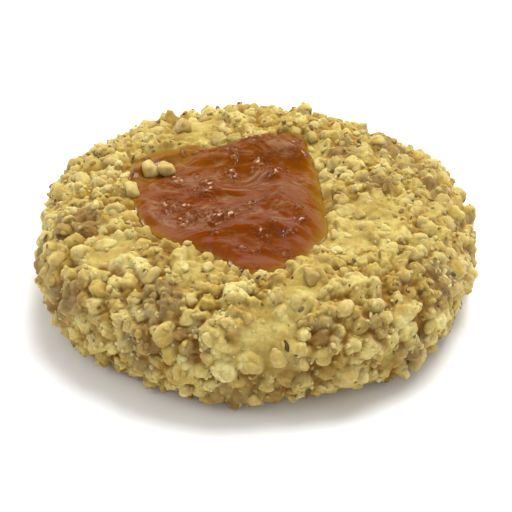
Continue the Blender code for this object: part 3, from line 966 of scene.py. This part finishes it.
def jam_material():
    """Clear glossy jam: deep orange brown where it is thick, amber where it is thin, with cloudy
    streaks along its folds that are partly pulp and partly a painted reflection of the bright
    room. Painted shade darkens the knots of pulp, and painted highlights light the tops of
    their bits."""
    material, tree, shader = shader_tree("apricot_jam")
    depth, lip, pulp, knot = stored(tree, "depth", "lip", "pulp", "knot")
    place = add_node(tree, "TexCoord").outputs["Object"]
    stretched, drawn = (
        add_node(tree, "Mapping", Vector=place, Rotation=(0.0, 0.0, -0.35), Scale=scale).outputs[0]
        for scale in ((1.0, 1.9, 1.9), (1.0, 3.5, 3.5))
    )
    body = colour_ramp(tree, depth, (
        (0.0, (0.26, 0.145, 0.018)), (0.1, (0.225, 0.096, 0.004)),
        (0.26, (0.185, 0.049, 0.001)), (0.7, (0.155, 0.031, 0.001)),
    ))
    streaks = noise(tree, stretched, 120.0, 7.0, 0.7, 2.2)
    # The wisps are partly cloudy pulp and partly a painted reflection of the bright room: kept off the lip,
    # and faint at the front, stronger towards the back.
    off_lip = eased(tree, lip, 0.0, 0.45, 1.0, 0.0)
    wisps_and_reflection = sum_up(tree, "MULTIPLY", eased(tree, streaks, 0.49, 0.65, 0.0, 0.75), off_lip)
    along = add_node(tree, "SeparateXYZ", _0=place).outputs[1]
    behind = eased(tree, along, -0.0115, -0.003, 0.1, 1.0)
    colour = mix(tree, sum_up(tree, "MULTIPLY", wisps_and_reflection, behind), body, (0.27, 0.142, 0.062))
    # Painted shade over each knot of pulp; then its bits paler, partly pale pulp and partly a painted
    # highlight towards their tops; and a painted glint on the highest tops.
    for mask, low, high, share, tint in (
        (knot, 0.1, 0.8, 0.45, (0.105, 0.022, 0.001)),
        (pulp, 0.35, 0.85, 0.75, (0.36, 0.17, 0.07)),
        (pulp, 0.66, 0.92, 0.85, (0.66, 0.43, 0.3)),
    ):
        colour = mix(tree, eased(tree, mask, low, high, 0.0, share), colour, tint)
    tree.links.new(colour, shader.inputs["Base Color"])
    thin = eased(tree, lip, 0.25, 0.8, 0.0, 0.14)
    roughness = sum_up(tree, "ADD", eased(tree, streaks, 0.4, 0.7, 0.06, 0.13), thin)
    tree.links.new(roughness, shader.inputs["Roughness"])
    cells = add_node(
        tree, "TexVoronoi", {"feature": "SMOOTH_F1"}, Vector=place, Scale=3000.0, Smoothness=0.4,
    ).outputs["Distance"]
    seeds = sum_up(tree, "MULTIPLY", cells, sum_up(tree, "MULTIPLY", knot, -1.0))
    lines = noise(tree, drawn, 260.0, 3.0, 0.6, 2.0)
    height = sum_up(tree, "MULTIPLY_ADD", lines, 0.22, seeds)
    add_bumps(tree, shader, sum_up(tree, "MULTIPLY_ADD", streaks, 0.35, height), 0.8, 0.00024)
    set_sockets(
        shader, IOR=1.38, Subsurface_Weight=0.25, Subsurface_Radius=(0.0016, 0.0005, 0.0002),
        Subsurface_Scale=1.0,
    )
    return material


shares = np.sin(np.linspace(1, 0, JAM_ROWS) ** 0.85 * pi / 2)[:, None]
jam_turns = np.linspace(0, tau, JAM_SECTORS, endpoint=False)[None, :]
jam_top, jam_depth, jam_pulp, jam_knot, jam_lip = jam_skin(shares, jam_turns)
base_shares = np.array((0.0, 0.3, 0.55, 0.75, 0.9))[:, None]
base_x, base_y = print_place(base_shares * ragged_edge(jam_turns), jam_turns)
jam_base = np.stack((base_x, base_y, dough_top(base_x, base_y) - JAM_SUNK), -1)
darkness = jam_depth / 4.0 * round_curve(JAM_DARKNESS, jam_turns)
jam = closed_rings(
    "jam_surface", np.concatenate((jam_base, jam_top)),
    {name: np.pad(value, ((len(jam_base), 0), (0, 0))) for name, value in (
        ("depth", darkness), ("pulp", jam_pulp), ("knot", jam_knot), ("lip", jam_lip),
    )},
    jam_material(),
)
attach(jam, "root")
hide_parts("jam_filling")


# Crumbs on the jam
# Three pieces of the same chopped nut as in the crust. They fell on the jam while it was
# warm, and sank a little way into it.
JAM_CRUMBS = ((-13.3, 5.6, 2.9), (-11.2, 5.2, 2.4), (-15.3, 0.8, 2.5))


def crumbs_on_jam():
    draw = np.random.default_rng(81)
    directions, faces = ball(3)
    x, y, sizes = np.array(JAM_CRUMBS).T
    reach, turn = print_polar(x, y)
    places = jam_skin(reach / ragged_edge(turn), turn)[0]
    shapes = chopped(directions, len(sizes), 9, draw, sharpness=5.0, flatness=(0.8, 1.0))
    points = places[:, None, :] + shapes * (sizes / 2)[:, None, None] + np.array((0, 0, 0.5))
    count = len(directions)
    values = {
        "tone": np.repeat((0.82, 0.72, 0.58), count), "roast": np.zeros(count * len(sizes)),
        # Painted shade on the lower side of each crumb, where it sits in the jam.
        "painted_shade": np.clip(0.2 - shapes[..., 2], 0, 1),
    }
    piece = many_balls("nuts_on_jam", points, faces, values, NUT)
    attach(piece, "root")


crumbs_on_jam()


# Floor, light and camera
# A plain white sheet under wide soft lamps, seen from in front and a little above. Two low
# lamps behind, which show in gloss alone, and the room's bright walls give the jam its shine.
FLOOR_HALF = 0.9
LENS, SENSOR = 150.0, 36.0
CAMERA_RISE, CAMERA_DISTANCE = radians(35), 0.262
CAMERA_TARGET = (0.0, 0.00015, 0.0042)


def white_floor():
    material, _, shader = shader_tree("white_sheet")
    set_sockets(shader, Base_Color=(0.9, 0.9, 0.9, 1), Roughness=0.9, Specular_IOR_Level=0.1)
    mesh = bpy.data.meshes.new("floor")
    corners = [(x * FLOOR_HALF, y * FLOOR_HALF, 0) for x, y in ((-1, -1), (1, -1), (1, 1), (-1, 1))]
    mesh.from_pydata(corners, [], [(0, 1, 2, 3)])
    mesh.materials.append(material)
    floor = add_object("floor", mesh)
    floor.location.z = -0.0001


def lamp(name, place, size, power, matt, glossy):
    """A round lamp that faces the cookie and is seen by matt surfaces, by glossy ones or by
    both."""
    data = bpy.data.lights.new(name, "AREA")
    data.shape, data.size, data.energy = "DISK", size, power
    holder = add_object(name, data)
    holder.location = place
    aim = Vector((0, 0, 0.01)) - Vector(place)
    holder.rotation_euler = aim.to_track_quat("-Z", "Y").to_euler()
    holder.visible_diffuse, holder.visible_glossy = matt, glossy


white_floor()
lamp("lamp_above", (0.12, 0.22, 0.55), 0.4, 4.5, True, False)
lamp("lamp_left", (-0.45, -0.1, 0.35), 0.3, 0.6, True, False)
lamp("lamp_front", (0.1, -0.5, 0.16), 0.3, 0.5, True, False)
BULB_DISTANCE = 0.47
BULBS = ((166, 13, 0.26, 2.8), (14, 14, 0.26, 2.8))
for number, (azimuth, height, size, power) in enumerate(BULBS):
    azimuth, height = radians(azimuth), radians(height)
    spread, rise = BULB_DISTANCE * cos(height), BULB_DISTANCE * sin(height)
    place = (spread * cos(azimuth), spread * sin(azimuth), rise)
    lamp("bulb_%d" % number, place, size, power, False, True)

world = bpy.data.worlds.new("soft_room")
world.use_nodes = True
sky = world.node_tree
direction = add_node(sky, "TexCoord").outputs["Generated"]
upward = add_node(sky, "SeparateXYZ", _0=direction).outputs["Z"]
wrapped = colour_ramp(sky, upward, (
    (0.0, (0.5, 0.5, 0.5)), (0.25, (0.55, 0.55, 0.55)), (1.0, (0.95, 0.95, 0.95)),
))
mirrored = colour_ramp(sky, upward, (
    (0.0, (0.4, 0.4, 0.4)), (0.35, (1.0, 0.97, 0.94)), (0.6, (1.15, 1.11, 1.07)),
    (0.73, (0.06, 0.06, 0.06)), (0.87, (0.02, 0.02, 0.02)),
))
rays = add_node(sky, "LightPath").outputs
shed = mix(sky, rays["Is Glossy Ray"], wrapped, mirrored)
shed = mix(sky, rays["Is Camera Ray"], shed, (1.1, 1.1, 1.1))
sky.links.new(shed, sky.nodes["Background"].inputs["Color"])
sky.nodes["Background"].inputs["Strength"].default_value = 0.8
bpy.context.scene.world = world
bpy.context.scene.view_settings.view_transform = "Standard"

camera_data = bpy.data.cameras.new("camera")
camera_data.lens, camera_data.sensor_width = LENS, SENSOR
camera = add_object("camera", camera_data)
away = np.array((0, -cos(CAMERA_RISE), sin(CAMERA_RISE)))
camera.location = CAMERA_TARGET + CAMERA_DISTANCE * away
camera.rotation_euler = (pi / 2 - CAMERA_RISE, 0, 0)
bpy.context.scene.camera = camera
